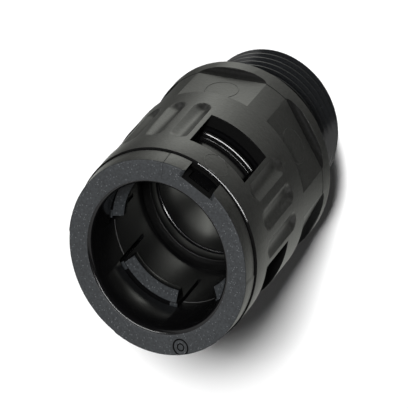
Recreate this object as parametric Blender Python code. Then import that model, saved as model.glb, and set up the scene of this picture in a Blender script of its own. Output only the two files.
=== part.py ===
"""Liquidtight conduit connector: a one-piece threaded body, a claw ring and a seal.

Lengths are in metres. +Z runs along the bore, from the threaded end (z = 0) to the ring's face.
"""
import math

import bmesh
import bpy


# Driving dimensions: threaded end
THREAD_DIAMETER = 0.0225
THREAD_DEPTH = 0.00067
THREAD_PITCH = 0.001411
THREAD_LENGTH = 0.01295
THREAD_LEAD = 0.0001
THREAD_RELIEF = 0.00025
THREAD_START_DEG = 180.0
THREAD_FADE_DEG = 60.0
SPIGOT_WALL = 0.00098
SPIGOT_CHAMFER = 0.0003

# Driving dimensions: collar and hexagon
COLLAR_THICKNESS = 0.00195
COLLAR_EDGE = 0.00015
SEAT_RELIEF = 0.0001
SEAT_CLEARANCE = 0.0001
HEX_LENGTH = 0.009
HEX_FLAT_DEPTH = 0.0012
HEX_FILLET = 0.001
CORNER_STEP = 0.0001

# Driving dimensions: shell
CONDUIT_DIAMETER = 0.0212
CONDUIT_CLEARANCE = 0.0003
SLEEVE_WALL = 0.0018
SHELL_WALL = 0.0019
WINDOW_SETBACK = 0.0044
WINDOW_LENGTH = 0.0086
WINDOW_WIDTH = 0.0104
REAR_BAND = 0.0043
RIM_BEVEL = 0.00025
RIM_LAND = 0.00045

# Driving dimensions: grip scoops
SCOOP_LENGTH = 0.0114
SCOOP_WIDTH = 0.00285
SCOOP_DEPTH = 0.0007
SCOOP_FALL = 0.0002
SCOOP_PITCH_DEG = 16.5

# Driving dimensions: locking ring
FLANGE_THICKNESS = 0.003
FLANGE_INSET = 0.0002
FLANGE_DRAFT = 0.00017
FLANGE_EDGE = 0.0002
FLANGE_WEB = 0.0012
FLANGE_SKIRT = 0.00118
MOUTH_ROUND = 0.0009
NOTCH_WIDTH = 0.0052
NOTCH_WEB_EDGE = 0.0012
BORE_STEP = 0.0001
SLIT_WIDTH = 0.0006
FRONT_SLIT = 0.0009
CLAW_MARGIN = 0.0015
CLAW_SIDE_STEP = 0.00025
ARM_RELIEF = 0.0006
CREST_HEIGHT = 0.0009
RIDGE_HEIGHT = 0.0005
CREST_SIDE_GAP = 0.00055
TOOTH_BITE = 0.0012
TOOTH_RAMP = 0.0009
TOOTH_LAND = 0.0012
TOOTH_BACK = 0.0007

# Driving dimensions: seal
SEAL_THICKNESS = 0.002
SEAL_WIDTH = 0.0022
SEAL_SQUEEZE = 0.0008
SEAL_LIP = 0.0006
SEAL_SEAT_GAP = 0.0003

# Clearances and fineness
PIECE_GAP = 0.0003
MERGE = 0.00003
SEGMENTS = 72
SEAL_SEGMENTS = 48
ARC_STEPS = 5
WINDOWS = 4
FLATS = 6
WINDOW_ANGLE = -90.0

# Derived radii
CONDUIT_R = CONDUIT_DIAMETER / 2
RING_BORE_R = CONDUIT_R + CONDUIT_CLEARANCE
SLEEVE_R = RING_BORE_R + SLEEVE_WALL
SHELL_INNER_R = SLEEVE_R + PIECE_GAP
SHELL_R = SHELL_INNER_R + SHELL_WALL
COLLAR_R = SHELL_R - CORNER_STEP
FLAT_R = COLLAR_R - HEX_FLAT_DEPTH
ROOT_R = THREAD_DIAMETER / 2 - THREAD_DEPTH
PANEL_SEAT_R = THREAD_DIAMETER / 2 + SEAT_CLEARANCE
BORE_R = ROOT_R - SPIGOT_WALL
BORE_ROUND = 0.5 * SPIGOT_WALL
SEAL_INNER_R = CONDUIT_R - SEAL_SQUEEZE
SEAL_R = SEAL_INNER_R + SEAL_WIDTH
SEAT_R = SEAL_R + SEAL_SEAT_GAP
FLANGE_REAR_R = SHELL_R - FLANGE_INSET
FLANGE_FACE_R = FLANGE_REAR_R - FLANGE_DRAFT
CHANNEL_R = FLANGE_FACE_R - FLANGE_SKIRT + 0.5 * FLANGE_DRAFT
NOTCH_R = FLANGE_FACE_R - NOTCH_WEB_EDGE
TOOTH_R = CONDUIT_R - TOOTH_BITE
ARM_R = SLEEVE_R - ARM_RELIEF
RIDGE_R = SLEEVE_R + RIDGE_HEIGHT
CREST_R = SLEEVE_R + CREST_HEIGHT

# Derived heights
COLLAR_Z = THREAD_LENGTH
HEX_Z = COLLAR_Z + COLLAR_THICKNESS
SHELL_Z = HEX_Z + HEX_LENGTH
SEAT_Z = SHELL_Z - PIECE_GAP
SEAL_Z = SHELL_Z
SOCKET_Z = SEAL_Z + SEAL_THICKNESS
SLEEVE_Z = SOCKET_Z + PIECE_GAP
WINDOW_LOW_Z = SOCKET_Z + REAR_BAND
WINDOW_TOP_Z = WINDOW_LOW_Z + WINDOW_LENGTH
RIM_Z = WINDOW_TOP_Z + WINDOW_SETBACK
FLANGE_Z = RIM_Z + PIECE_GAP
FACE_Z = FLANGE_Z + FLANGE_THICKNESS
SCOOP_TOP_Z = WINDOW_TOP_Z
SCOOP_LOW_Z = SCOOP_TOP_Z - SCOOP_LENGTH

# Derived claw layout
CLAW_TOP_Z = WINDOW_TOP_Z - 0.06 * WINDOW_LENGTH
SLIT_TOP_Z = CLAW_TOP_Z + FRONT_SLIT
SLIT_LOW_Z = WINDOW_LOW_Z - 0.01 * WINDOW_LENGTH
RIDGE_Z = WINDOW_TOP_Z - 0.57 * WINDOW_LENGTH
CREST_Z = WINDOW_TOP_Z - 0.63 * WINDOW_LENGTH
CREST_LOW_Z = WINDOW_TOP_Z - 0.70 * WINDOW_LENGTH
RELIEF_Z = CREST_LOW_Z + 0.02 * WINDOW_LENGTH
NOSE_HALF = math.degrees(math.asin((0.5 * WINDOW_WIDTH - CREST_SIDE_GAP) / CREST_R))
ARM_HALF = NOSE_HALF + math.degrees(CLAW_MARGIN / RING_BORE_R)
TOOTH_HALF = ARM_HALF - math.degrees(CLAW_SIDE_STEP / RING_BORE_R)
SLIT_HALF = ARM_HALF + math.degrees(SLIT_WIDTH / RING_BORE_R)

# Derived scoop cutter: a capsule whose axis lies outside the shell
SCOOP_CUTTER_R = SCOOP_WIDTH ** 2 / (8 * SCOOP_DEPTH) + 0.5 * SCOOP_DEPTH
SCOOP_AXIS_R = SHELL_R - SCOOP_DEPTH + SCOOP_CUTTER_R
SCOOP_END = 0.5 * SCOOP_WIDTH


def clear_scene():
    for obj in list(bpy.data.objects):
        bpy.data.objects.remove(obj, do_unlink=True)


def material(name, color, roughness):
    mat = bpy.data.materials.new(name)
    mat.use_nodes = True
    shader = mat.node_tree.nodes["Principled BSDF"]
    shader.inputs["Base Color"].default_value = (*color, 1.0)
    shader.inputs["Roughness"].default_value = roughness
    mat.diffuse_color = (*color, 1.0)
    return mat


def finish(name, bm, mat=None):
    bmesh.ops.recalc_face_normals(bm, faces=bm.faces)
    mesh = bpy.data.meshes.new(name)
    bm.to_mesh(mesh)
    bm.free()
    obj = bpy.data.objects.new(name, mesh)
    bpy.context.scene.collection.objects.link(obj)
    if mat is not None:
        mesh.materials.append(mat)
        mesh.shade_smooth()
        mesh.set_sharp_from_angle(angle=math.radians(30))
    return obj


def cutter(name, bm):
    obj = finish(name, bm)
    obj.hide_render = True
    obj.display_type = "WIRE"
    return obj


def cut(obj, tool, operation="DIFFERENCE"):
    mod = obj.modifiers.new(tool.name, "BOOLEAN")
    mod.operation = operation
    mod.solver = "EXACT"
    mod.object = tool


def arc(r_centre, z_centre, radius, start, end, steps=ARC_STEPS):
    """Points of an arc in the profile plane, angles in degrees from the outward radius."""
    points = []
    for i in range(steps + 1):
        a = math.radians(start + (end - start) * i / steps)
        points.append((r_centre + radius * math.cos(a), z_centre + radius * math.sin(a)))
    return points


def polar(radius, degrees, z):
    a = math.radians(degrees)
    return (radius * math.cos(a), radius * math.sin(a), z)


def add_lathe(bm, profile, segments=SEGMENTS, left_open=None):
    """Spin a closed profile of (radius, height) points into a closed ring.

    The band after point left_open is left out, and its two edges are returned.
    """
    rings = []
    for i in range(segments):
        angle = 360.0 * i / segments
        rings.append([bm.verts.new(polar(r, angle, z)) for r, z in profile])
    count = len(profile)
    for i in range(segments):
        here = rings[i]
        after = rings[(i + 1) % segments]
        for j in range(count):
            k = (j + 1) % count
            if j != left_open:
                bm.faces.new((here[j], after[j], after[k], here[k]))
    if left_open is not None:
        return [ring[left_open] for ring in rings], [ring[left_open + 1] for ring in rings]


def add_thread(bm, low, top, root_r, depth, pitch, z_start, z_end, start_degrees, fade_degrees):
    """Wind one helical ridge between two rings of vertices that lie at its root radius."""
    count = len(low)
    first = round(count * start_degrees / 360.0) % count
    low = low[first:] + low[:first]
    top = top[first:] + top[:first]
    turns = [360.0 * (first + i) / count for i in range(count)]
    steps = int(count * ((z_end - z_start) / pitch - 1.0))
    fade = count * fade_degrees / 360.0
    roots = []
    for i in range(steps + count + 1):
        roots.append(bm.verts.new(polar(root_r, turns[i % count], z_start + pitch * i / count)))
    crests = []
    for i in range(steps + 1):
        share = min(1.0, i / fade, (steps - i) / fade)
        height = z_start + pitch * (i / count + 0.5)
        crests.append(bm.verts.new(polar(root_r + depth * share, turns[i % count], height)))
    flanks = []
    for i in range(steps):
        flanks.append(bm.faces.new((roots[i], roots[i + 1], crests[i + 1], crests[i])))
        flanks.append(bm.faces.new((crests[i], crests[i + 1], roots[i + 1 + count], roots[i + count])))
    bm.faces.new((low[-1], low[0], roots[0], crests[0], roots[count], roots[count - 1]))
    for j in range(count - 1):
        bm.faces.new((low[j], low[j + 1], roots[j + 1], roots[j]))
    k = steps % count
    after = top[(k + 1) % count]
    bm.faces.new((roots[steps], roots[steps + 1], after, top[k], roots[steps + count], crests[steps]))
    for j in range(1, count):
        k = (steps + j) % count
        bm.faces.new((roots[steps + j], roots[steps + j + 1], top[(k + 1) % count], top[k]))
    bmesh.ops.triangulate(bm, faces=flanks)


def add_sector(bm, profile, start, end, steps):
    """Sweep a closed profile about the axis between two angles, with flat ends."""
    rings = []
    for i in range(steps + 1):
        angle = start + (end - start) * i / steps
        rings.append([bm.verts.new(polar(r, angle, z)) for r, z in profile])
    count = len(profile)
    for i in range(steps):
        for j in range(count):
            k = (j + 1) % count
            bm.faces.new((rings[i][j], rings[i + 1][j], rings[i + 1][k], rings[i][k]))
    bm.faces.new(rings[0])
    bm.faces.new(list(reversed(rings[-1])))


def add_slab(bm, profile, half_width, angle):
    """Extrude a closed (radius, height) profile sideways and turn it to an angle."""
    a = math.radians(angle)
    sides = []
    for y in (-half_width, half_width):
        side = []
        for r, z in profile:
            x_turned = r * math.cos(a) - y * math.sin(a)
            y_turned = r * math.sin(a) + y * math.cos(a)
            side.append(bm.verts.new((x_turned, y_turned, z)))
        sides.append(side)
    count = len(profile)
    for j in range(count):
        k = (j + 1) % count
        bm.faces.new((sides[0][j], sides[1][j], sides[1][k], sides[0][k]))
    bm.faces.new(sides[0])
    bm.faces.new(list(reversed(sides[1])))


def add_capsule(bm, axis_r, angle, z_low, z_top, radius, end, lean, sides=24, rings=4):
    """Capsule with domed ends of the given height, standing at a polar position.

    Its axis leans outwards, by lean on each side of axis_r.
    """
    middle = 0.5 * (z_low + z_top)
    slope = 2 * lean / (z_top - z_low)
    levels = []
    for i in range(1, rings + 1):
        a = math.radians(90.0 * i / rings)
        levels.append((radius * math.sin(a), z_low + end * (1 - math.cos(a))))
    for i in range(rings, 0, -1):
        a = math.radians(90.0 * i / rings)
        levels.append((radius * math.sin(a), z_top - end * (1 - math.cos(a))))
    loops = []
    for r, z in levels:
        loop = []
        cx, cy, _ = polar(axis_r + slope * (z - middle), angle, z)
        for i in range(sides):
            a = math.radians(angle + 360.0 * (i + 0.5) / sides)
            loop.append(bm.verts.new((cx + r * math.cos(a), cy + r * math.sin(a), z)))
        loops.append(loop)
    for low, top in zip(loops, loops[1:]):
        for i in range(sides):
            k = (i + 1) % sides
            bm.faces.new((low[i], low[k], top[k], top[i]))
    bottom = bm.verts.new(polar(axis_r - lean, angle, z_low))
    top = bm.verts.new(polar(axis_r + lean, angle, z_top))
    for i in range(sides):
        k = (i + 1) % sides
        bm.faces.new((bottom, loops[0][k], loops[0][i]))
        bm.faces.new((top, loops[-1][i], loops[-1][k]))


def rectangle(r_in, r_out, z_low, z_top):
    return [(r_in, z_low), (r_out, z_low), (r_out, z_top), (r_in, z_top)]


def window_angles():
    return [WINDOW_ANGLE + 360.0 * i / WINDOWS for i in range(WINDOWS)]


def build_body(mat):
    lead_in = SHELL_R - RIM_BEVEL - RIM_LAND - SHELL_INNER_R
    edge = 0.15 * SPIGOT_WALL
    profile = [(BORE_R + edge, 0.0), (ROOT_R - SPIGOT_CHAMFER, 0.0)]
    profile += [(ROOT_R, SPIGOT_CHAMFER), (ROOT_R, COLLAR_Z + SEAT_RELIEF), (PANEL_SEAT_R, COLLAR_Z)]
    profile += [(COLLAR_R - COLLAR_EDGE, COLLAR_Z), (COLLAR_R, COLLAR_Z + COLLAR_EDGE)]
    profile += [(COLLAR_R, SHELL_Z - 0.08 * HEX_LENGTH), (SHELL_R, SHELL_Z - 0.04 * HEX_LENGTH)]
    profile += [(SHELL_R, RIM_Z - RIM_BEVEL), (SHELL_R - RIM_BEVEL, RIM_Z)]
    profile += [(SHELL_INNER_R + lead_in, RIM_Z), (SHELL_INNER_R, RIM_Z - lead_in)]
    profile += [(SHELL_INNER_R, SOCKET_Z), (SEAT_R, SOCKET_Z), (SEAT_R, SEAT_Z)]
    profile += arc(BORE_R + BORE_ROUND, SEAT_Z - BORE_ROUND, BORE_ROUND, 90, 180)
    profile += [(BORE_R, edge)]
    bm = bmesh.new()
    low, top = add_lathe(bm, profile, left_open=2)
    thread_start = SPIGOT_CHAMFER + THREAD_LEAD
    thread_end = COLLAR_Z - THREAD_RELIEF
    add_thread(bm, low, top, ROOT_R, THREAD_DEPTH, THREAD_PITCH, thread_start, thread_end,
               THREAD_START_DEG, THREAD_FADE_DEG)
    body = finish("body", bm, mat)

    flats = bmesh.new()
    flat_profile = arc(FLAT_R + HEX_FILLET, HEX_Z + HEX_FILLET, HEX_FILLET, 180, 270)
    flat_profile += [(COLLAR_R + HEX_FLAT_DEPTH, HEX_Z)]
    flat_profile += [(COLLAR_R + HEX_FLAT_DEPTH, SHELL_Z), (FLAT_R, SHELL_Z)]
    for i in range(FLATS):
        angle = WINDOW_ANGLE + 180.0 / FLATS + 360.0 * i / FLATS
        add_slab(flats, flat_profile, 0.45 * COLLAR_R, angle)
    cut(body, cutter("flat_cutter", flats))

    windows = bmesh.new()
    window_profile = rectangle(0.9 * SHELL_INNER_R, 1.1 * SHELL_R, WINDOW_LOW_Z, WINDOW_TOP_Z)
    for angle in window_angles():
        add_slab(windows, window_profile, 0.5 * WINDOW_WIDTH, angle)
    cut(body, cutter("window_cutter", windows))

    scoops = bmesh.new()
    for angle in window_angles():
        for offset in (-SCOOP_PITCH_DEG, 0.0, SCOOP_PITCH_DEG):
            middle = angle + 180.0 / WINDOWS + offset
            add_capsule(scoops, SCOOP_AXIS_R, middle, SCOOP_LOW_Z, SCOOP_TOP_Z, SCOOP_CUTTER_R, SCOOP_END,
                        0.5 * SCOOP_FALL)
    cut(body, cutter("scoop_cutter", scoops))
    return body


def build_ring(mat):
    channel_z = FACE_Z - FLANGE_WEB
    edge = 0.3 * SLEEVE_WALL
    step_z = CLAW_TOP_Z - 1.1 * TOOTH_RAMP
    step_r = RING_BORE_R + BORE_STEP
    profile = [(step_r + edge, SLEEVE_Z), (SLEEVE_R - edge, SLEEVE_Z), (SLEEVE_R, SLEEVE_Z + edge)]
    profile += [(SLEEVE_R, channel_z), (CHANNEL_R, channel_z), (CHANNEL_R, FLANGE_Z)]
    profile += [(FLANGE_REAR_R, FLANGE_Z), (FLANGE_FACE_R, FACE_Z - FLANGE_EDGE)]
    profile += [(FLANGE_FACE_R - FLANGE_EDGE, FACE_Z)]
    profile += arc(RING_BORE_R + MOUTH_ROUND, FACE_Z - MOUTH_ROUND, MOUTH_ROUND, 90, 180)
    profile += [(RING_BORE_R, step_z), (step_r, step_z), (step_r, SLEEVE_Z + edge)]
    bm = bmesh.new()
    add_lathe(bm, profile)
    ring = finish("locking_ring", bm, mat)

    front = bmesh.new()
    front_profile = rectangle(0.9 * RING_BORE_R, 1.05 * SLEEVE_R, CLAW_TOP_Z, SLIT_TOP_Z)
    for angle in window_angles():
        add_sector(front, front_profile, angle - SLIT_HALF, angle + SLIT_HALF, 17)
    cut(ring, cutter("front_slit_cutter", front))

    sides = bmesh.new()
    side_profile = rectangle(0.9 * RING_BORE_R, 1.05 * SLEEVE_R, SLIT_LOW_Z, CLAW_TOP_Z + 0.5 * FRONT_SLIT)
    for angle in window_angles():
        add_sector(sides, side_profile, angle - SLIT_HALF, angle - ARM_HALF, 1)
        add_sector(sides, side_profile, angle + ARM_HALF, angle + SLIT_HALF, 1)
    cut(ring, cutter("side_slit_cutter", sides))

    relief = bmesh.new()
    middle = 0.5 * (ARM_HALF + SLIT_HALF)
    rear_profile = rectangle(ARM_R, 1.05 * SLEEVE_R, SLIT_LOW_Z + 0.01 * WINDOW_LENGTH, RELIEF_Z)
    flank_profile = rectangle(ARM_R, 1.05 * SLEEVE_R, RELIEF_Z + MERGE, CLAW_TOP_Z + 0.5 * FRONT_SLIT)
    for angle in window_angles():
        add_sector(relief, rear_profile, angle - middle, angle + middle, 17)
        add_sector(relief, flank_profile, angle - middle, angle - NOSE_HALF, 2)
        add_sector(relief, flank_profile, angle + NOSE_HALF, angle + middle, 2)
    cut(ring, cutter("relief_cutter", relief))

    notch = bmesh.new()
    half = math.degrees(math.asin(0.5 * NOTCH_WIDTH / NOTCH_R))
    outline = []
    for i in range(ARC_STEPS + 1):
        x, y, _ = polar(NOTCH_R, WINDOW_ANGLE - half + 2 * half * i / ARC_STEPS, 0.0)
        outline.append((x, y))
    a = math.radians(WINDOW_ANGLE)
    for side in (0.5, -0.5):
        y = side * NOTCH_WIDTH
        x = 1.05 * FLANGE_REAR_R
        outline.append((x * math.cos(a) - y * math.sin(a), x * math.sin(a) + y * math.cos(a)))
    low = [notch.verts.new((x, y, FLANGE_Z - 0.5 * PIECE_GAP)) for x, y in outline]
    top = [notch.verts.new((x, y, FACE_Z + FLANGE_EDGE)) for x, y in outline]
    for j in range(len(outline)):
        k = (j + 1) % len(outline)
        notch.faces.new((low[j], low[k], top[k], top[j]))
    notch.faces.new(list(reversed(low)))
    notch.faces.new(top)
    cut(ring, cutter("notch_cutter", notch))

    embed = 0.25 * SLEEVE_WALL
    claws = bmesh.new()
    front_run = (step_r + embed - TOOTH_R) / (step_r - TOOTH_R)
    ramp_z = CLAW_TOP_Z - TOOTH_RAMP
    back_z = ramp_z - TOOTH_LAND
    tooth_profile = [(TOOTH_R, ramp_z), (TOOTH_R, back_z)]
    tooth_profile += [(step_r + embed, back_z - TOOTH_BACK * front_run)]
    tooth_profile += [(step_r + embed, ramp_z + 0.85 * TOOTH_RAMP)]
    for angle in window_angles():
        add_sector(claws, tooth_profile, angle - TOOTH_HALF, angle + TOOTH_HALF, 15)
    cut(ring, cutter("tooth_maker", claws), "UNION")

    crests = bmesh.new()
    crest_half = NOSE_HALF - 0.2
    crest_profile = [(ARM_R - embed, CREST_LOW_Z), (CREST_R, CREST_LOW_Z), (CREST_R, CREST_Z)]
    crest_profile += [(RIDGE_R, CREST_Z), (RIDGE_R, RIDGE_Z), (ARM_R - embed, RIDGE_Z)]
    for angle in window_angles():
        add_sector(crests, crest_profile, angle - crest_half, angle + crest_half, 11)
    cut(ring, cutter("crest_maker", crests), "UNION")
    return ring


def build_seal(mat):
    top = SEAL_Z + SEAL_THICKNESS
    chamfer = 0.15 * SEAL_THICKNESS
    profile = [(SEAL_R - chamfer, SEAL_Z), (SEAL_R, SEAL_Z + chamfer), (SEAL_R, top - chamfer)]
    profile += [(SEAL_R - chamfer, top)]
    profile += arc(SEAL_INNER_R + SEAL_LIP, top - SEAL_LIP, SEAL_LIP, 90, 180)
    profile += [(SEAL_INNER_R, SEAL_Z + chamfer), (SEAL_INNER_R + chamfer, SEAL_Z)]
    bm = bmesh.new()
    add_lathe(bm, profile, SEAL_SEGMENTS)
    return finish("seal_ring", bm, mat)


def main():
    clear_scene()
    rigid = material("body_plastic", (0.042, 0.043, 0.041), 0.45)
    ring = material("ring_plastic", (0.040, 0.042, 0.046), 0.5)
    rubber = material("seal_elastomer", (0.018, 0.018, 0.019), 0.3)
    build_body(rigid)
    build_ring(ring)
    build_seal(rubber)


main()
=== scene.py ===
import math

import bmesh
import bpy
from mathutils import Matrix, Vector


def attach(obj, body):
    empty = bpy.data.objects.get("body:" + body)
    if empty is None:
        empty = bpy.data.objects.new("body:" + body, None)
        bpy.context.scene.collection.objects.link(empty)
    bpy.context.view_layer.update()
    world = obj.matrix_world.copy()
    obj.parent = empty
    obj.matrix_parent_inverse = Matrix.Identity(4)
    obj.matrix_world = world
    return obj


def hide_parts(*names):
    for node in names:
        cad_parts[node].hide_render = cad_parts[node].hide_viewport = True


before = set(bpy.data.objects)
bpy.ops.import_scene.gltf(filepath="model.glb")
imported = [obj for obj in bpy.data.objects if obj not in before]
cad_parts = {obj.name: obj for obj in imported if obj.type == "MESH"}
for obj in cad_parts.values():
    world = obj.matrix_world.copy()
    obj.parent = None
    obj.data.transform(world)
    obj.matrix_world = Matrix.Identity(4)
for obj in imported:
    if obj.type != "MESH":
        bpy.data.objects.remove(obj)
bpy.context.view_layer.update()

# Sizes in millimetres, heights above the threaded end, angles in degrees
MM = 0.001
NEAR = 0.01
FRONT = -90.0
QUARTER = 90.0

# Threaded spigot
BORE_R = 9.6
ROOT_R = 10.58
CREST_OF_THREAD_R = 11.25
PITCH = 1.411
THREAD_AT = 0.4
THREAD_TOP = 11.98
RUN_OUT = 60.0

# Collar and hexagon
COLLAR_R = 14.8
COLLAR_Z = 12.95
HEX_R = 14.73
HEX_Z = 14.9
HEX_FILLET = 1.0
HEX_ROW = 0.1
HEX_ROWS = 8
FLAT_HALF = 23.0
FLAT_R = COLLAR_R * math.cos(math.radians(FLAT_HALF))

# Shell with its windows and grip scoops
SHELL_R = 14.9
SHELL_INNER_R = 13.0
SHELL_Z = 23.9
SHELL_STEP = 0.2
SEAL_SEAT_R = 12.3
SEAL_SEAT_Z = SHELL_Z - 0.3
SOCKET_Z = 25.9
RIM_Z = 43.2
RIM_CORNER_R = 14.2
LEAD_IN = 1.2
WINDOW_LOW_Z = 30.2
WINDOW_TOP_Z = 38.8
WINDOW_HALF = 20.0
WINDOW_INNER_HALF = math.degrees(math.asin(SHELL_R * math.sin(math.radians(WINDOW_HALF))
                                           / SHELL_INNER_R))
SCOOP_PITCH = 16.5
SCOOP_REACH = 24.0
SCOOP_HALF_WIDTH = 1.46
SCOOP_LOW_Z = 27.4
SCOOP_DEPTH_BY_RIM = 0.56
SCOOP_DEPTH_GAIN = 0.24
SCOOP_LIP = 1.25
FINE_LOW_Z = 27.0
FINE_TOP_Z = 39.2
FINE_ROW = 0.2

# Locking ring: sleeve, four claws between U-slits, and flange
SLEEVE_R = 12.7
SLEEVE_Z = 26.2
RING_BORE_R = 10.9
PARTING_Z = 37.25
# Top of the pale stripe above the bore's step, a painted highlight line.
PAINTED_LINE_TOP_Z = 37.5
SLIT_HALF = 30.5
SLIT_WIDTH = 3.0
SLIT_LOW_Z = 30.1
SLIT_TOP_Z = 39.2
CLAW_TOP_Z = 38.3
CLAW_BACK_R = 12.1
CLAW_BACK_HALF = 29.0
NOSE_HALF = 20.0
NOSE_LOW_Z = 33.0
TOOTH_HALF = 26.2
CREST_HALF = 19.7
CREST_LOW_Z = 32.8
FLANGE_Z = 43.5
FLANGE_R = 14.7
FLANGE_EDGE_R = 14.2
FRONT_EASE_Z = 45.9
FACE_Z = 46.5
NOTCH_WIDTH = 5.2
NOTCH_FLARED_WIDTH = 7.2
NOTCH_DEPTH = 3.0
NOTCH_FLOOR_R = 13.3
FINE_LINE_TURN = 24.2
MARK_R = 13.37
MARK_TURN = -134.9
MARK_OUTER_R = 1.3

# Seal
SEAL_LIP_R = 9.8
SEAL_R = 12.0

# Directions of the photograph in the part's own frame
PICTURE_RIGHT = Vector((-0.812522, -0.436237, -0.386821))
PICTURE_UP = Vector((0.477140, -0.878754, -0.011214))
PICTURE_BACK = Vector((-0.094562, -0.556141, 0.825688))
CAMERA_AT = Vector((-0.092138, -0.540745, 0.831374))
CENTRE = Vector((0, 0, 0.0235))
LENS = 560.19
SENSOR = 36.0

# Studio
LAMP_DISTANCE = 0.7
ROOM_LIGHT = 0.035
TABLE_HALF = 1.5
TABLE_WHITE = 0.98

# Brightness of the table round the part as the nylon's gloss sees it, by angle, and how it fades
POOL_PEAK = 3.0
POOL_OF_LIGHT = [
    (-180, 0.98), (-163, 0.48), (-143, 0.22), (-123, 0.28), (-103, 0.65), (-83, 1.1), (-64, 1.8),
    (-44, 2.7), (-24, 0.75), (-4, 0.25), (16, 0.5), (36, 1.4), (56, 1.9), (64, 0.2), (76, 0.06),
    (96, 0.14), (116, 0.5), (136, 0.95), (156, 1.0), (180, 0.98)]
POOL_TINT = (0.98, 1.0, 0.93, 1)

# Finishes: dark and pale shades of the nylon, roughness, and the grain's scale, specks and depth
GLOSS_SPREAD = 0.08
GRAIN_HEIGHT = 0.00004
FINISHES = {
    "moulded_nylon": dict(
        dark=(0.004, 0.004, 0.0035), pale=(0.016, 0.016, 0.015), rough=0.38,
        scale=3800, specks=0.08, speck_color=(0.026, 0.026, 0.024), depth=0.5),
    "spark_textured_nylon": dict(
        dark=(0.004, 0.005, 0.006), pale=(0.026, 0.029, 0.032), rough=0.6,
        scale=4200, specks=0.25, speck_color=(0.08, 0.085, 0.09), depth=0.6, specular=0.45),
    "claw_front_nylon": dict(
        dark=(0.003, 0.004, 0.005), pale=(0.024, 0.027, 0.030), rough=0.85,
        scale=4200, specks=0.25, speck_color=(0.07, 0.075, 0.08), depth=0.6),
    "polished_bore_nylon": dict(
        dark=(0.002, 0.002, 0.0022), pale=(0.003, 0.003, 0.0032), rough=0.18,
        scale=2500, specks=0.02, speck_color=(0.005, 0.005, 0.005), depth=0.02),
    "ring_bore_nylon": dict(
        dark=(0.002, 0.002, 0.0022), pale=(0.003, 0.003, 0.0032), rough=0.2,
        scale=2500, specks=0.02, speck_color=(0.005, 0.005, 0.005), depth=0.02, specular=0.28),
    # Painted shade: near black with almost no gloss, for window and notch walls, mark pits, crest
    # sides and rim tops where shade falls.
    "painted_shade_recess_nylon": dict(
        dark=(0.003, 0.003, 0.003), pale=(0.004, 0.004, 0.004), rough=0.6,
        scale=2500, specks=0.02, speck_color=(0.006, 0.006, 0.006), depth=0.05, specular=0.03),
    # Painted shade: dark and nearly without gloss, so that the hexagon's filleted shoulders show no
    # reflection.
    "painted_shade_shoulder_nylon": dict(
        dark=(0.004, 0.004, 0.0035), pale=(0.009, 0.009, 0.009), rough=0.5,
        scale=3800, specks=0.08, speck_color=(0.009, 0.009, 0.009), depth=0.3, specular=0.05),
    "seal_elastomer": dict(
        dark=(0.002, 0.002, 0.002), pale=(0.004, 0.004, 0.004), rough=0.3,
        scale=2500, specks=0.02, speck_color=(0.006, 0.006, 0.006), depth=0.05, specular=0.1),
    # Painted highlight: a pale stripe in the ring's bore that stands in for a fine bright line of
    # light.
    "painted_highlight_line_nylon": dict(
        dark=(0.05, 0.05, 0.05), pale=(0.12, 0.12, 0.12), rough=0.5,
        scale=2500, specks=0.02, speck_color=(0.12, 0.12, 0.12), depth=0.05, specular=0.3),
    "thread_nylon": dict(
        dark=(0.005, 0.0055, 0.006), pale=(0.009, 0.0095, 0.0105), rough=0.20,
        scale=4200, specks=0.05, speck_color=(0.02, 0.02, 0.02), depth=0.06),
}


def polar(r, angle, z):
    a = math.radians(angle)
    return Vector((r * MM * math.cos(a), r * MM * math.sin(a), z * MM))


def radius_of(co):
    return math.hypot(co.x, co.y) / MM


def turn_of(co):
    """Angle of a point round the bore, from the notch and the front window."""
    return (math.degrees(math.atan2(co.y, co.x)) - FRONT + 180.0) % 360.0 - 180.0


def from_nearest(turn, pitch, start=0.0):
    """Angle from the nearest of a row of evenly spaced features."""
    return (turn - start + pitch / 2) % pitch - pitch / 2


def set_polar(vert, r, turn, z):
    vert.co = polar(r, turn + FRONT, z)


# Mesh making

def band(inner, outer, low, top):
    """Outline of a plain band between two radii and two heights."""
    return [(inner, low), (outer, low), (outer, top), (inner, top)]


def draw_outline(bm, outline, rounds=()):
    """Closed outline of (radius, height) points, with chosen corners rounded."""
    verts = [bm.verts.new((r * MM, 0, z * MM)) for r, z in outline]
    for a, b in zip(verts, verts[1:] + verts[:1]):
        bm.edges.new((a, b))
    for index, size in rounds:
        bmesh.ops.bevel(bm, geom=[verts[index]], offset=size * MM, offset_type="OFFSET",
                        segments=4, profile=0.5, affect="VERTICES", material=-1)


def turned(outline, rounds=(), steps=360):
    """Closed outline turned right round the bore."""
    bm = bmesh.new()
    draw_outline(bm, outline, rounds)
    bmesh.ops.spin(bm, geom=bm.verts[:] + bm.edges[:], cent=(0, 0, 0), axis=(0, 0, 1),
                   angle=2 * math.pi, steps=steps, use_merge=True)
    bmesh.ops.remove_doubles(bm, verts=bm.verts, dist=1e-7)
    bmesh.ops.recalc_face_normals(bm, faces=bm.faces)
    return bm


def swept(outline, start, end, rounds=(), steps=24):
    """Closed outline swept about the bore between two angles, closed at both ends."""
    bm = bmesh.new()
    draw_outline(bm, outline, rounds)
    bmesh.ops.contextual_create(bm, geom=bm.edges[:])
    bmesh.ops.rotate(bm, verts=bm.verts, cent=(0, 0, 0),
                     matrix=Matrix.Rotation(math.radians(start), 3, "Z"))
    bmesh.ops.spin(bm, geom=bm.verts[:] + bm.edges[:] + bm.faces[:], cent=(0, 0, 0),
                   axis=(0, 0, 1), angle=math.radians(end - start), steps=steps)
    bmesh.ops.recalc_face_normals(bm, faces=bm.faces)
    return bm


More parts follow.
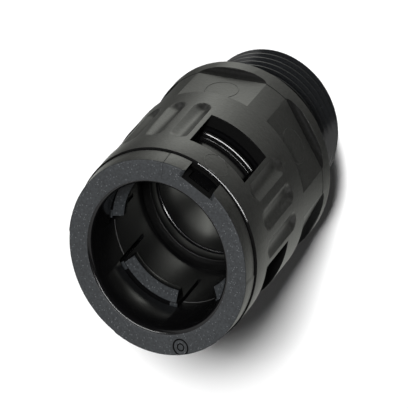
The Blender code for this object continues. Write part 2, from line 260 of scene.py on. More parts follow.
def join(meshes):
    whole = bmesh.new()
    for bm in meshes:
        part = bpy.data.meshes.new("part")
        bm.to_mesh(part)
        bm.free()
        whole.from_mesh(part)
        bpy.data.meshes.remove(part)
    return whole


def at_each_claw(*bars):
    """Bars of (outline, first angle, last angle, steps, rounds), the same at all four claws."""
    meshes = []
    for quarter in range(4):
        middle = FRONT + QUARTER * quarter
        for outline, first, last, steps, rounds in bars:
            meshes.append(swept(outline, middle + first, middle + last, rounds, steps))
    return join(meshes)


def place(name, bm):
    mesh = bpy.data.meshes.new(name)
    bm.to_mesh(mesh)
    bm.free()
    obj = bpy.data.objects.new(name, mesh)
    bpy.context.scene.collection.objects.link(obj)
    return obj


def lift(obj):
    """Takes a piece out of the scene again, as a mesh to cut with."""
    bm = bmesh.new()
    bm.from_mesh(obj.data)
    mesh = obj.data
    bpy.data.objects.remove(obj, do_unlink=True)
    bpy.data.meshes.remove(mesh)
    return bm


def carve(obj, bm, operation="DIFFERENCE"):
    """Cuts a mesh out of a piece, or joins it on, and keeps the result."""
    tool = place("tool", bm)
    mod = obj.modifiers.new("carve", "BOOLEAN")
    mod.operation = operation
    mod.solver = "EXACT"
    mod.object = tool
    depsgraph = bpy.context.evaluated_depsgraph_get()
    made = bpy.data.meshes.new_from_object(obj.evaluated_get(depsgraph))
    obj.modifiers.remove(mod)
    old = obj.data
    obj.data = made
    bpy.data.meshes.remove(old)
    bpy.data.objects.remove(tool, do_unlink=True)


def smooth(obj, angle):
    """Smooth shading, with an edge kept sharp where it turns more than the angle."""
    obj.data.shade_smooth()
    obj.data.set_sharp_from_angle(angle=math.radians(angle))


def round_edges(bm, edges, width):
    bmesh.ops.bevel(bm, geom=edges, offset=width * MM, offset_type="OFFSET", segments=2,
                    profile=0.5, affect="EDGES", material=-1, clamp_overlap=True)


# Body

def scoop_depth(turn, z):
    """Grip scoops: round-ended, deepest towards the hexagon, with soft lips."""
    side = from_nearest(turn, QUARTER, QUARTER / 2)
    if abs(side) > SCOOP_REACH:
        return 0.0
    near = from_nearest(side, SCOOP_PITCH) if abs(side) < SCOOP_PITCH else abs(side) - SCOOP_PITCH
    across = math.radians(near) * SHELL_R
    low, top = SCOOP_LOW_Z + SCOOP_HALF_WIDTH, WINDOW_TOP_Z - SCOOP_HALF_WIDTH
    past = max(low - z, z - top, 0.0)
    share = math.hypot(across, past) / SCOOP_HALF_WIDTH
    along = min(max((top - z) / (top - low), 0.0), 1.0)
    depth = SCOOP_DEPTH_BY_RIM + SCOOP_DEPTH_GAIN * along
    return depth * max(1.0 - share * share, 0.0) ** SCOOP_LIP


def shape_hexagon(vert, turn, z):
    """Moves a point of the round blank to a flat, a rounded corner or a filleted end."""
    off = abs(from_nearest(turn, 60.0, 30.0))
    by_shell = z > SHELL_Z - SHELL_STEP - NEAR
    if off < FLAT_HALF - 0.1:
        lean = math.cos(math.radians(off))
        room = min(COLLAR_R * lean - FLAT_R, HEX_FILLET)
        most = math.acos(1.0 - room / HEX_FILLET)
        row = round((z - HEX_Z) / HEX_ROW)
        if by_shell:
            set_polar(vert, min(FLAT_R / lean, HEX_R), turn, SHELL_Z)
        elif row == 0:
            set_polar(vert, COLLAR_R, turn, HEX_Z + HEX_FILLET * (1 - math.sin(most)))
        else:
            bend = most * (HEX_ROWS - 1 - row) / (HEX_ROWS - 2)
            out = FLAT_R + HEX_FILLET * (1 - math.cos(bend))
            limit = COLLAR_R if row == 1 else HEX_R
            set_polar(vert, min(out / lean, limit), turn,
                      HEX_Z + HEX_FILLET * (1 - math.sin(bend)))
    elif by_shell:
        set_polar(vert, SHELL_R, turn, SHELL_Z)
    elif z < HEX_Z + HEX_ROW / 2:
        set_polar(vert, COLLAR_R, turn, HEX_Z + HEX_FILLET * 0.94)
    else:
        set_polar(vert, HEX_R, turn, HEX_Z + HEX_FILLET)


def turn_inside_window(turn):
    """Where a column of points stands inside the shell, so that the windows' sides are square."""
    side = from_nearest(turn, QUARTER)
    if abs(side) < WINDOW_HALF:
        moved = side * WINDOW_INNER_HALF / WINDOW_HALF
    else:
        middle = QUARTER / 2
        share = (middle - abs(side)) / (middle - WINDOW_HALF)
        moved = math.copysign(middle - share * (middle - WINDOW_INNER_HALF), side)
    return turn - side + moved


def body_mesh():
    hex_rows = [HEX_Z + HEX_ROW * k for k in range(HEX_ROWS)]
    fine_rows = round((FINE_TOP_Z - FINE_LOW_Z) / FINE_ROW) + 1
    shell_rows = [24.2, 26.8] + [round(FINE_LOW_Z + FINE_ROW * k, 3) for k in range(fine_rows)]
    window_rows = [z for z in shell_rows if WINDOW_LOW_Z - NEAR < z < WINDOW_TOP_Z + NEAR]
    outline = [(9.75, 0), (10.34, 0), (ROOT_R, 0.24), (ROOT_R, COLLAR_Z + 0.1),
               (11.35, COLLAR_Z), (COLLAR_R, COLLAR_Z)]
    outline += [(COLLAR_R, z) for z in hex_rows]
    outline += [(COLLAR_R, SHELL_Z - SHELL_STEP), (SHELL_R, SHELL_Z)]
    outline += [(SHELL_R, z) for z in shell_rows]
    outline += [(SHELL_R, RIM_Z - 0.1), (SHELL_R - 0.2, RIM_Z)]
    rim = len(outline)
    outline += [(RIM_CORNER_R, RIM_Z), (SHELL_INNER_R, RIM_Z - LEAD_IN)]
    outline += [(SHELL_INNER_R, z) for z in reversed(window_rows)]
    outline += [(SHELL_INNER_R, SOCKET_Z), (SEAL_SEAT_R, SOCKET_Z), (SEAL_SEAT_R, SEAL_SEAT_Z)]
    mouth = len(outline)
    outline += [(BORE_R, SEAL_SEAT_Z), (BORE_R, 0.15)]
    bm = turned(outline, [(mouth, 0.3), (rim, 0.1)])
    for v in bm.verts:
        r = radius_of(v.co)
        z = v.co.z / MM
        turn = turn_of(v.co)
        if abs(r - COLLAR_R) < NEAR and HEX_Z - NEAR < z < SHELL_Z - SHELL_STEP / 2:
            shape_hexagon(v, turn, z)
        elif abs(r - SHELL_R) < NEAR and FINE_LOW_Z + FINE_ROW / 2 < z < FINE_TOP_Z:
            set_polar(v, SHELL_R - scoop_depth(turn, z), turn, z)
        elif abs(r - SHELL_INNER_R) < NEAR and WINDOW_LOW_Z - 0.1 < z < WINDOW_TOP_Z + 0.1:
            set_polar(v, SHELL_INNER_R, turn_inside_window(turn), z)
    bmesh.ops.remove_doubles(bm, verts=bm.verts, dist=2e-6)
    bmesh.ops.dissolve_degenerate(bm, dist=1e-6, edges=bm.edges)
    open_windows(bm)
    bmesh.ops.recalc_face_normals(bm, faces=bm.faces)
    hard = [e for e in bm.edges if e.is_manifold and e.calc_face_angle(0) > math.radians(42)]
    round_edges(bm, hard, 0.09)
    return bm


def open_windows(bm):
    """Opens the four windows through the shell and closes their sides."""
    gone = []
    for f in bm.faces:
        c = f.calc_center_median()
        r = radius_of(c)
        if WINDOW_LOW_Z < c.z / MM < WINDOW_TOP_Z:
            side = abs(from_nearest(turn_of(c), QUARTER))
            outer = r > 14.0 and side < WINDOW_HALF
            inner = 12.9 < r < 14.0 and side < WINDOW_INNER_HALF + 0.02
            if outer or inner:
                gone.append(f)
    bmesh.ops.delete(bm, geom=gone, context="FACES")
    rims = [e for e in bm.edges if e.is_boundary]
    for quarter in range(4):
        here = []
        for e in rims:
            middle = (e.verts[0].co + e.verts[1].co) / 2
            if abs(from_nearest(turn_of(middle) - QUARTER * quarter, 360.0)) < QUARTER / 2:
                here.append(e)
        bmesh.ops.bridge_loops(bm, edges=here)


def thread_mesh():
    """One right-handed ridge, cut square by the end and run out under the collar."""
    half = PITCH / 2
    buried_r, sunk_r, flank_r, shoulder_r = 10.3, 10.45, ROOT_R + 0.03, 11.19
    foot, flank, shoulder, crest = half * 0.93, half * 0.86, 0.13, 0.06
    profile = [(buried_r, -foot), (ROOT_R, -foot), (flank_r, -flank), (shoulder_r, -shoulder),
               (CREST_OF_THREAD_R, -crest), (CREST_OF_THREAD_R, crest), (shoulder_r, shoulder),
               (flank_r, flank), (ROOT_R, foot), (buried_r, foot)]
    start = THREAD_AT - PITCH
    turns = (THREAD_TOP - start) / PITCH
    steps = round(turns * 120)
    bm = bmesh.new()
    draw_outline(bm, [(r, z + start) for r, z in profile])
    bmesh.ops.contextual_create(bm, geom=bm.edges[:])
    bmesh.ops.spin(bm, geom=bm.verts[:] + bm.edges[:] + bm.faces[:], cent=(0, 0, 0),
                   axis=(0, 0, 1), dvec=(0, 0, turns * PITCH * MM / steps),
                   angle=turns * 2 * math.pi, steps=steps)
    bmesh.ops.recalc_face_normals(bm, faces=bm.faces)
    for v in bm.verts:
        r = radius_of(v.co)
        around = math.degrees(math.atan2(v.co.y, v.co.x)) % 360.0 / 360.0
        laps = round((v.co.z / MM - start) / PITCH - around)
        left = turns - laps - around
        share = min(max(left * 360.0 / RUN_OUT, 0.0), 1.0)
        if r > ROOT_R - 0.05:
            kept = sunk_r + (r - sunk_r) * share ** 0.5
            v.co.x *= kept / r
            v.co.y *= kept / r
    bmesh.ops.bisect_plane(bm, geom=bm.verts[:] + bm.edges[:] + bm.faces[:],
                           plane_co=(0, 0, 0.05 * MM), plane_no=(0, 0, 1), clear_inner=True)
    bmesh.ops.holes_fill(bm, edges=[e for e in bm.edges if e.is_boundary])
    return bm


def raised_ring(at_r, turn, z, diameter, width, height, bend=None):
    """Fine ring standing on a flat, or wrapped on to a cylinder of radius bend."""
    rim, sunk = diameter / 2, -0.05
    bm = turned([(rim - width, sunk), (rim - width * 0.5, height), (rim + width * 0.5, height),
                 (rim + width, sunk)], steps=64)
    if bend:
        for v in bm.verts:
            v.co.z = math.sqrt((bend * MM + v.co.z) ** 2 - v.co.y ** 2) - bend * MM
    upright = Matrix(((0, 0, 1), (0, 1, 0), (-1, 0, 0)))
    bmesh.ops.rotate(bm, verts=bm.verts, cent=(0, 0, 0), matrix=upright)
    bmesh.ops.translate(bm, verts=bm.verts, vec=(at_r * MM, 0, z * MM))
    bmesh.ops.rotate(bm, verts=bm.verts, cent=(0, 0, 0),
                     matrix=Matrix.Rotation(math.radians(turn + FRONT), 3, "Z"))
    return bm


# Locking ring

def ring_blank():
    """Sleeve and flange, a little wider between the fine lines and narrower on two stretches."""
    outline = [(11.5, SLEEVE_Z), (12.3, SLEEVE_Z), (SLEEVE_R, SLEEVE_Z + 0.5),
               (SLEEVE_R, FACE_Z - 1.2), (13.43, FACE_Z - 1.2), (13.43, FLANGE_Z),
               (FLANGE_R, FLANGE_Z)]
    rim = len(outline)
    outline += [(14.54, FACE_Z), (12.45, FACE_Z), (11.95, FACE_Z - 0.03)]
    mouth = len(outline)
    outline += [(RING_BORE_R, FACE_Z), (RING_BORE_R, PAINTED_LINE_TOP_Z), (RING_BORE_R, PARTING_Z),
                (RING_BORE_R + 0.1, PARTING_Z), (RING_BORE_R + 0.1, SLEEVE_Z + 0.5)]
    bm = turned(outline, [(rim - 1, 0.12), (rim, 0.22), (mouth, 0.95), (mouth + 1, 0.05)])
    for v in bm.verts:
        r = radius_of(v.co)
        turn = turn_of(v.co)
        if r > FLANGE_EDGE_R:
            grow = 0.05 if abs(turn) < FINE_LINE_TURN + 0.05 else 0.0
            grow -= 0.1 if 0 > turn > -66.5 or turn > 113.5 else 0.0
            v.co.x *= (r + grow) / r
            v.co.y *= (r + grow) / r
    return bm


def cut_slits(ring):
    """U-slits that free the claws, and the hollows behind that leave each claw thin round its nose.

    The hollows are cut as one closed U at each claw, so that the ring stays closed for the next cuts.
    """
    bore_side, outside, mid_slit_z = 10.0, 13.4, 38.7
    top = band(bore_side, outside, CLAW_TOP_Z, SLIT_TOP_Z)
    carve(ring, at_each_claw((top, -SLIT_HALF, SLIT_HALF, 40, ())))
    side = band(bore_side, outside, SLIT_LOW_Z, mid_slit_z)
    inner_half = SLIT_HALF - SLIT_WIDTH
    carve(ring, at_each_claw((side, -SLIT_HALF, -inner_half, 2, ()),
                             (side, inner_half, SLIT_HALF, 2, ())))
    back = band(CLAW_BACK_R, outside, SLIT_LOW_Z + 0.1, mid_slit_z)
    hollows = place("hollows", at_each_claw((back, -CLAW_BACK_HALF, CLAW_BACK_HALF, 40, ())))
    nose = band(CLAW_BACK_R - 0.3, outside + 0.3, NOSE_LOW_Z, mid_slit_z + 0.3)
    carve(hollows, at_each_claw((nose, -NOSE_HALF, NOSE_HALF, 28, ())))
    carve(ring, lift(hollows))


def add_claws(ring):
    """Teeth that grip the conduit, and crests with two chamfers that stand in the windows."""
    tooth = [(11.45, 38.27), (11.0, 38.2), (9.4, 37.3), (9.4, 36.1), (11.5, 35.18)]
    carve(ring, at_each_claw((tooth, -TOOTH_HALF, TOOTH_HALF, 52,
                              [(1, 0.12), (2, 0.12), (3, 0.2)])), "UNION")
    crest = [(11.7, 38.25), (12.55, 38.2), (12.72, 37.9), (12.72, 33.9), (13.17, 33.9),
             (13.2, 33.884), (13.2, 33.4), (13.49, 33.4), (13.6, 33.342), (13.6, CREST_LOW_Z),
             (11.7, CREST_LOW_Z)]
    carve(ring, at_each_claw((crest, -CREST_HALF, CREST_HALF, 40,
                              [(1, 0.06), (2, 0.06), (9, 0.05)])), "UNION")
    bm = bmesh.new()
    bm.from_mesh(ring.data)
    lip = [e for e in bm.edges if all(abs(v.co.z / MM - SLIT_TOP_Z) < NEAR and
                                      abs(radius_of(v.co) - RING_BORE_R) < NEAR
                                      for v in e.verts)]
    round_edges(bm, lip, 0.07)
    bm.to_mesh(ring.data)
    bm.free()


def mark_bar(radius, low, top):
    """Upright round bar, for a pit or a pip of the round mark on the face."""
    bm = bmesh.new()
    bmesh.ops.create_cone(bm, cap_ends=True, cap_tris=False, segments=40,
                          radius1=radius * MM, radius2=radius * MM, depth=(top - low) * MM)
    bmesh.ops.translate(bm, vec=polar(MARK_R, MARK_TURN + FRONT, FACE_Z + (low + top) / 2),
                        verts=bm.verts)
    return bm


def mark_face(ring):
    """Two fine lines beside the notch, and a round mark of a ring round a pip."""
    lines = []
    for middle, inner in ((FRONT - FINE_LINE_TURN, 14.0), (FRONT + FINE_LINE_TURN, 10.6)):
        cut = [(inner, FACE_Z - 0.06), (14.46, FACE_Z - 0.06), (14.62, FLANGE_Z - 0.1),
               (15.2, FLANGE_Z - 0.1), (15.2, FACE_Z + 0.3), (inner, FACE_Z + 0.3)]
        lines.append(swept(cut, middle - 0.16, middle + 0.16, steps=1))
    carve(ring, join(lines))
    carve(ring, mark_bar(MARK_OUTER_R, -0.2, 0.5))
    carve(ring, mark_bar(1.06, -0.3, -0.03), "UNION")
    carve(ring, mark_bar(0.62, -0.15, 0.3))
    carve(ring, mark_bar(0.42, -0.25, -0.03), "UNION")


def notch_box(low, height, top_width):
    """Box through the front of the flange, as wide as the notch at its foot."""
    bm = bmesh.new()
    bmesh.ops.create_cube(bm, size=1.0)
    bmesh.ops.scale(bm, vec=(NOTCH_WIDTH * MM, NOTCH_DEPTH * MM, height * MM), verts=bm.verts)
    bmesh.ops.scale(bm, vec=(top_width / NOTCH_WIDTH, 1, 1),
                    verts=[v for v in bm.verts if v.co.z > 0])
    bmesh.ops.translate(bm, vec=(0, -(NOTCH_FLOOR_R + NOTCH_DEPTH / 2) * MM,
                                 (low + height / 2) * MM), verts=bm.verts)
    return bm


def ring_object():
    ring = place("locking_ring_shape", ring_blank())
    cut_slits(ring)
    add_claws(ring)
    mark_face(ring)
    carve(ring, notch_box(low=FLANGE_Z - 0.15, height=3.6, top_width=NOTCH_WIDTH))
    carve(ring, notch_box(low=FACE_Z - 0.5, height=1.0, top_width=NOTCH_FLARED_WIDTH))
    return ring


# Materials

def group(name, inputs, outputs):
    tree = bpy.data.node_groups.new(name, "ShaderNodeTree")
    for label, kind, value in inputs:
        socket = tree.interface.new_socket(label, in_out="INPUT", socket_type=kind)
        socket.default_value = value
    for label, kind in outputs:
        tree.interface.new_socket(label, in_out="OUTPUT", socket_type=kind)
    return tree, tree.nodes.new("NodeGroupInput"), tree.nodes.new("NodeGroupOutput")


def node(tree, kind, links=(), **values):
    """New node with its settings, its sockets' values and its links."""
    made = tree.nodes.new(kind)
    for key, value in values.items():
        if hasattr(made, key):
            setattr(made, key, value)
        else:
            made.inputs[key].default_value = value
    for socket, source in links:
        tree.links.new(source, made.inputs[socket])
    return made


def maths(tree, operation, *terms):
    made = tree.nodes.new("ShaderNodeMath")
    made.operation = operation
    for spot, term in enumerate(terms):
        if isinstance(term, (int, float)):
            made.inputs[spot].default_value = term
        else:
            tree.links.new(term, made.inputs[spot])
    return made.outputs[0]


def fade(tree, source, start, end, at_start=0.0, at_end=1.0):
    """Value that runs evenly from one number to another while the source goes from start to end."""
    made = node(tree, "ShaderNodeMapRange", [(0, source)])
    for spot, value in enumerate((start, end, at_start, at_end), 1):
        made.inputs[spot].default_value = value
    return made.outputs[0]


def spark_texture():
    """Spark-eroded mould finish: its grain as a height, a mask of specks, and a mottle."""
    tree, inside, out = group(
        "spark_texture",
        [("Scale", "NodeSocketFloat", 4000.0), ("Specks", "NodeSocketFloat", 0.3)],
        [("Height", "NodeSocketFloat"), ("Speck", "NodeSocketFloat"),
         ("Mottle", "NodeSocketFloat")])
    coords = tree.nodes.new("ShaderNodeTexCoord").outputs["Object"]

    def texture(kind, scale, **values):
        return node(tree, kind, [("Vector", coords), ("Scale", scale)], **values)

    size = inside.outputs["Scale"]
    fine = texture("ShaderNodeTexNoise", size, Detail=3.0)
    grain = texture("ShaderNodeTexVoronoi", maths(tree, "MULTIPLY", size, 0.45))
    pits = maths(tree, "MULTIPLY", grain.outputs["Distance"], 0.6)
    height = maths(tree, "ADD", fine.outputs["Fac"], pits)
    tree.links.new(height, out.inputs["Height"])
    patches = texture("ShaderNodeTexNoise", maths(tree, "MULTIPLY", size, 0.7), Detail=2.0)
    tree.links.new(fade(tree, patches.outputs["Fac"], 0.32, 0.68), out.inputs["Mottle"])
    dots = texture("ShaderNodeTexVoronoi", maths(tree, "MULTIPLY", size, 0.8))
    close = maths(tree, "LESS_THAN", dots.outputs["Distance"], 0.28)
    pick = node(tree, "ShaderNodeSeparateColor", [(0, dots.outputs["Color"])])
    rare = maths(tree, "LESS_THAN", pick.outputs[0], inside.outputs["Specks"])
    tree.links.new(maths(tree, "MULTIPLY", close, rare), out.inputs["Speck"])
    return tree


def mould_flow():
    """Slow changes of shade and gloss that a moulded part has."""
    tree, inside, out = group("mould_flow", [("Scale", "NodeSocketFloat", 90.0)],
                              [("Shade", "NodeSocketFloat")])
    coords = tree.nodes.new("ShaderNodeTexCoord").outputs["Object"]
    cloud = node(tree, "ShaderNodeTexNoise",
                 [("Vector", coords), ("Scale", inside.outputs["Scale"])], Detail=2.0)
    tree.links.new(cloud.outputs["Fac"], out.inputs["Shade"])
    return tree


def new_material(name):
    mat = bpy.data.materials.new(name)
    mat.use_nodes = True
    return mat, mat.node_tree


def moulded(name, spark, flow, dark, pale, rough, scale, specks, speck_color, depth,
            specular=0.5):
    """Moulded nylon or rubber: two shades mixed by flow and grain, specks, and a fine relief."""
    mat, tree = new_material(name)
    shader = tree.nodes["Principled BSDF"]
    shader.inputs["Specular IOR Level"].default_value = specular
    grain = node(tree, "ShaderNodeGroup", node_tree=spark)
    grain.inputs["Scale"].default_value = scale
    grain.inputs["Specks"].default_value = specks
    drift = node(tree, "ShaderNodeGroup", node_tree=flow)
    shade = node(tree, "ShaderNodeMix", data_type="RGBA")
    shade.inputs[6].default_value = (*dark, 1)
    shade.inputs[7].default_value = (*pale, 1)
    blend = maths(tree, "ADD", maths(tree, "MULTIPLY", drift.outputs["Shade"], 0.4),
                  maths(tree, "MULTIPLY", grain.outputs["Mottle"], 0.6))
    tree.links.new(blend, shade.inputs[0])
    dotted = node(tree, "ShaderNodeMix", [(0, grain.outputs["Speck"]), (6, shade.outputs[2])],
                  data_type="RGBA")
    dotted.inputs[7].default_value = (*speck_color, 1)
    tree.links.new(dotted.outputs[2], shader.inputs["Base Color"])
    varied = maths(tree, "MULTIPLY", drift.outputs["Shade"], GLOSS_SPREAD)
    tree.links.new(maths(tree, "ADD", varied, rough - GLOSS_SPREAD / 2),
                   shader.inputs["Roughness"])
    bump = node(tree, "ShaderNodeBump", [("Height", grain.outputs["Height"])], Strength=depth,
                Distance=GRAIN_HEIGHT)
    tree.links.new(bump.outputs[0], shader.inputs["Normal"])
    return mat


def white_table():
    """White table: matt to the lamps, and in reflections a pool of light that fades outwards."""
    mat, tree = new_material("white_table")
    shader = tree.nodes["Principled BSDF"]
    shader.inputs["Base Color"].default_value = (TABLE_WHITE, TABLE_WHITE, TABLE_WHITE, 1)
    shader.inputs["Roughness"].default_value = 0.9
    shader.inputs["Specular IOR Level"].default_value = 0.0
    coords = tree.nodes.new("ShaderNodeTexCoord").outputs["Object"]
    split = node(tree, "ShaderNodeSeparateXYZ", [(0, coords)])
    around = maths(tree, "ARCTAN2", split.outputs[1], split.outputs[0])
    share = maths(tree, "ADD", maths(tree, "DIVIDE", around, 2 * math.pi), 0.5)
    pool = node(tree, "ShaderNodeValToRGB", [(0, share)])
    ramp = pool.color_ramp
    ramp.interpolation = "EASE"
    while len(ramp.elements) < len(POOL_OF_LIGHT):
        ramp.elements.new(0.5)
    for stop, (angle, level) in zip(ramp.elements, POOL_OF_LIGHT):
        stop.position = (angle + 180) / 360
        stop.color = (level / POOL_PEAK, level / POOL_PEAK, level / POOL_PEAK, 1)
    warm = node(tree, "ShaderNodeMix", [(6, pool.outputs[0])], data_type="RGBA",
                blend_type="MULTIPLY")
    warm.inputs[0].default_value = 1.0
    warm.inputs[7].default_value = POOL_TINT
    far = node(tree, "ShaderNodeVectorMath", [(0, coords)], operation="LENGTH").outputs["Value"]
    outwards = fade(tree, far, 0.045, 0.14, POOL_PEAK, 0.4)
    near = fade(tree, far, 0.024, 0.042, 0.6, 1.0)
    within = maths(tree, "MULTIPLY", maths(tree, "LESS_THAN", far, 0.0103), 0.35)
    pooled = maths(tree, "MULTIPLY", maths(tree, "ADD", near, within), outwards)
    glow = node(tree, "ShaderNodeEmission", [(0, warm.outputs[2]), (1, pooled)])
    path = tree.nodes.new("ShaderNodeLightPath")
    distant = fade(tree, far, 0.06, 0.2)
    backdrop = maths(tree, "MULTIPLY", distant, path.outputs["Is Camera Ray"])
    tree.links.new(backdrop, shader.inputs["Emission Color"])
    shader.inputs["Emission Strength"].default_value = 1.0
    mix = node(tree, "ShaderNodeMixShader", [(0, path.outputs["Is Glossy Ray"]),
                                             (1, shader.outputs[0]), (2, glow.outputs[0])])
    tree.links.new(mix.outputs[0], tree.nodes["Material Output"].inputs["Surface"])
    return mat


# Light and camera

def softbox(name, direction, size, energy):
    data = bpy.data.lights.new(name, "AREA")
    data.shape = "RECTANGLE"
    data.size, data.size_y = size
    data.energy = energy
    lamp = bpy.data.objects.new(name, data)
    bpy.context.scene.collection.objects.link(lamp)
    away = Vector(direction).normalized()
    lamp.location = CENTRE + away * LAMP_DISTANCE
    lamp.rotation_mode = "QUATERNION"
    lamp.rotation_quaternion = away.to_track_quat("Z", "Y")
    return lamp


def dark_curtain(direction, distance, radius):
    """Black cloth round the camera, seen only in reflections."""
    bm = bmesh.new()
    bmesh.ops.create_circle(bm, cap_ends=True, segments=48, radius=radius)
    away = Vector(direction).normalized()
    bmesh.ops.rotate(bm, cent=(0, 0, 0), matrix=away.to_track_quat("Z", "Y").to_matrix(),
                     verts=bm.verts)
    bmesh.ops.translate(bm, vec=CENTRE + away * distance, verts=bm.verts)
    cloth = place("dark_curtain", bm)
    mat, tree = new_material("black_cloth")
    black = node(tree, "ShaderNodeEmission", Strength=0.02)
    tree.links.new(black.outputs[0], tree.nodes["Material Output"].inputs["Surface"])
    cloth.data.materials.append(mat)
    cloth.visible_camera = False
    cloth.visible_diffuse = False
    cloth.visible_transmission = False
    cloth.visible_shadow = False


def table():
    bm = bmesh.new()
    bmesh.ops.create_grid(bm, x_segments=1, y_segments=1, size=TABLE_HALF)
    floor = place("floor", bm)
    floor.data.materials.append(white_table())


def room():
    """Plain world: dim to the part, white to the camera and to reflections."""
    world = bpy.data.worlds.new("studio")
    bpy.context.scene.world = world
    world.use_nodes = True
    tree = world.node_tree
    soft = tree.nodes["Background"]
    soft.inputs["Color"].default_value = (1, 1, 1, 1)
    soft.inputs["Strength"].default_value = ROOM_LIGHT
    white = node(tree, "ShaderNodeBackground", Strength=1.0)
    white.inputs["Color"].default_value = (1, 1, 1, 1)
    path = tree.nodes.new("ShaderNodeLightPath")
    seen = maths(tree, "MAXIMUM", path.outputs["Is Camera Ray"], path.outputs["Is Glossy Ray"])
    seen = maths(tree, "MAXIMUM", seen, path.outputs["Is Transmission Ray"])
    mix = node(tree, "ShaderNodeMixShader", [(0, seen), (1, soft.outputs[0]),
                                             (2, white.outputs[0])])
    tree.links.new(mix.outputs[0], tree.nodes["World Output"].inputs["Surface"])


def lamps():
    """Key lamp by the camera, a long strip for the chamfers' glints, and the dark cloth."""
    toward = (CAMERA_AT - CENTRE).normalized()
    key_at = toward + 0.03 * PICTURE_UP - 0.137 * PICTURE_RIGHT
    key = softbox("key", key_at, size=(0.11, 0.11), energy=7.2)
    key.visible_glossy = False
    side, reach = math.radians(-84), 0.56
    glint_at = (reach * math.cos(side), reach * math.sin(side), 1.65 * toward.z)
    glint = softbox("glint", glint_at, size=(0.95, 0.06), energy=6.5)
    glint.visible_diffuse = False
    dark_curtain((toward.x + 0.06, toward.y, 0.62 * toward.z), distance=1.2, radius=2.2)


def shifted_camera():
    """Camera with the photograph's own axes, which a shifted lens has sheared."""
    scene = bpy.context.scene
    camera = bpy.data.cameras.new("camera")
    camera.sensor_width = SENSOR
    camera.lens = LENS
    camera.clip_start, camera.clip_end = 0.05, 20.0
    view = bpy.data.objects.new("camera", camera)
    stand = bpy.data.objects.new("camera_stand", None)
    scene.collection.objects.link(view)
    scene.collection.objects.link(stand)
    view.parent = stand
    axes = Matrix.Identity(4)
    for column, axis in enumerate((PICTURE_RIGHT, PICTURE_UP, PICTURE_BACK, CAMERA_AT)):
        for row in range(3):
            axes[row][column] = axis[row]
    view.matrix_parent_inverse = axes
    scene.camera = view


def studio():
    table()
    room()
    lamps()
    shifted_camera()
    bpy.context.scene.view_settings.view_transform = "Standard"


# Finishes on the pieces

def body_finish(centre, normal):
    """Finish of one face of the body, by its place and the way it faces."""
    r = radius_of(centre)
    z = centre.z / MM
    turn = turn_of(centre)
    aside = r * abs(math.sin(math.radians(from_nearest(turn, QUARTER))))
    if r < 10.4 and z > 0.3:
        return "polished_bore_nylon"
    if r < 10.7:
        return "thread_nylon"
    if r < SHELL_INNER_R + 0.02 and z > COLLAR_Z + 1:
        return "polished_bore_nylon"
    # Rim top: its eased edge is glossy between -36 and 7 degrees; the rest of the rim top carries
    # painted shade.
    if z > RIM_Z - 0.15 and r > 14.0:
        eased = normal.z < 0.97 and -36 < turn < 7
        return "polished_bore_nylon" if eased else "painted_shade_recess_nylon"
    if r > 14.6 and abs(z - WINDOW_LOW_Z) < 0.12 and 0.2 < normal.z < 0.95:
        return "polished_bore_nylon"
    # Window walls carry painted shade.
    if r < 14.85 and WINDOW_LOW_Z - 0.02 < z < WINDOW_TOP_Z + 0.02 and aside < 5.2:
        return "painted_shade_recess_nylon"
    # The hexagon's filleted shoulders carry painted shade.
    if HEX_Z < z < HEX_Z + HEX_FILLET + 0.1 and r < COLLAR_R - 0.02 and normal.z > 0.04:
        return "painted_shade_shoulder_nylon"
    return "moulded_nylon"


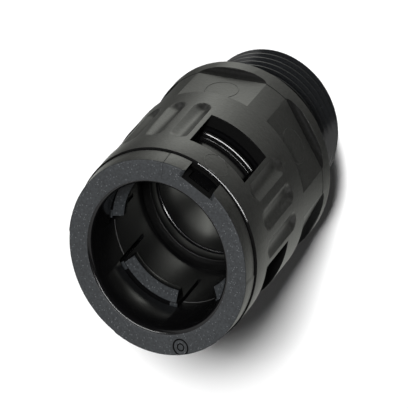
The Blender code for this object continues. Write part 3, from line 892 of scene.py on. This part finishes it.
def ring_finish(centre, normal):
    """Finish of one face of the locking ring, by its place and the way it faces."""
    r = radius_of(centre)
    z = centre.z / MM
    from_claw = abs(from_nearest(turn_of(centre), QUARTER))
    inward = -(normal.x * centre.x + normal.y * centre.y) / max(r * MM, 1e-9)
    off_mark = (centre - polar(MARK_R, MARK_TURN + FRONT, z)).length / MM
    # Crests in the windows: their chamfers glossy, their other faces painted shade.
    if CREST_LOW_Z - 0.2 < z < 34.1 and r > 12.9:
        if not 0.5 < normal.z < 0.97:
            return "painted_shade_recess_nylon"
        return "polished_bore_nylon" if r > 13.4 else "ring_bore_nylon"
    if 36.5 < z < 38.4 and normal.z > 0.4 and r < 11.6:
        return "claw_front_nylon"
    # Painted highlight: the pale stripe just above the bore's step, between the claws.
    if PARTING_Z < z < PAINTED_LINE_TOP_Z and r < RING_BORE_R + 0.05 and from_claw > SLIT_HALF + 0.5:
        return "painted_highlight_line_nylon"
    # Walls and sunk floor of the round mark carry painted shade.
    in_mark = off_mark < MARK_OUTER_R + NEAR and z > FACE_Z - 0.4
    if in_mark and (normal.z < 0.5 or z < FACE_Z - 0.1):
        return "painted_shade_recess_nylon"
    # Walls of the notch carry painted shade.
    in_notch = abs(centre.x) / MM < NOTCH_WIDTH / 2 + 0.05 and centre.y < 0
    if in_notch and NOTCH_FLOOR_R - 0.1 < r < FLANGE_R and abs(normal.z) < 0.3:
        return "painted_shade_recess_nylon"
    if r > FLANGE_EDGE_R and z > FLANGE_Z and abs(normal.z) < 0.3:
        return "moulded_nylon"
    if z >= FRONT_EASE_Z and r < 11.4:
        return "ring_bore_nylon"
    claw_step = inward < 0.95 and normal.z > 0.3 and r < 11.2
    if z < FRONT_EASE_Z and r < 13.7 and not claw_step:
        return "ring_bore_nylon"
    return "spark_textured_nylon"


def dress(piece, finishes, names, choose=None):
    """Gives a piece its finishes, and each face the one that choose names."""
    piece.data.materials.clear()
    for name in names:
        piece.data.materials.append(finishes[name])
    if choose:
        for face in piece.data.polygons:
            face.material_index = names.index(choose(face.center, face.normal))


def main():
    spark = spark_texture()
    flow = mould_flow()
    finishes = {name: moulded(name, spark, flow, **look) for name, look in FINISHES.items()}

    body = place("body_shell", body_mesh())
    smooth(body, angle=19)
    dress(body, finishes, ("moulded_nylon", "polished_bore_nylon", "thread_nylon",
                           "painted_shade_recess_nylon", "painted_shade_shoulder_nylon"), body_finish)
    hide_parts("body")
    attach(body, "body")

    thread = place("thread_ridge", thread_mesh())
    smooth(thread, angle=30)
    dress(thread, finishes, ("thread_nylon",))
    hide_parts("body")
    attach(thread, "body")

    gates = place("mould_marks", join([
        raised_ring(FLAT_R, turn=-30.0, z=20.0, diameter=5.2, width=0.14, height=0.03),
        raised_ring(FLAT_R, turn=30.0, z=20.0, diameter=5.2, width=0.14, height=0.05),
        raised_ring(SHELL_R, turn=-1.5, z=40.9, diameter=4.2, width=0.1, height=0.04,
                    bend=SHELL_R)]))
    smooth(gates, angle=40)
    dress(gates, finishes, ("moulded_nylon",))
    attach(gates, "body")

    ring = ring_object()
    smooth(ring, angle=24)
    dress(ring, finishes, ("spark_textured_nylon", "ring_bore_nylon", "moulded_nylon",
                           "claw_front_nylon", "painted_shade_recess_nylon", "polished_bore_nylon",
                           "painted_highlight_line_nylon"), ring_finish)
    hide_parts("locking_ring")
    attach(ring, "ring")

    seal = place("seal_lip_ring", turned(band(SEAL_LIP_R, SEAL_R, SHELL_Z, SOCKET_Z),
                                         [(0, 0.3), (1, 0.2), (2, 0.2), (3, 0.3)], steps=256))
    smooth(seal, angle=40)
    dress(seal, finishes, ("seal_elastomer",))
    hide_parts("seal_ring")
    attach(seal, "body")

    studio()


main()
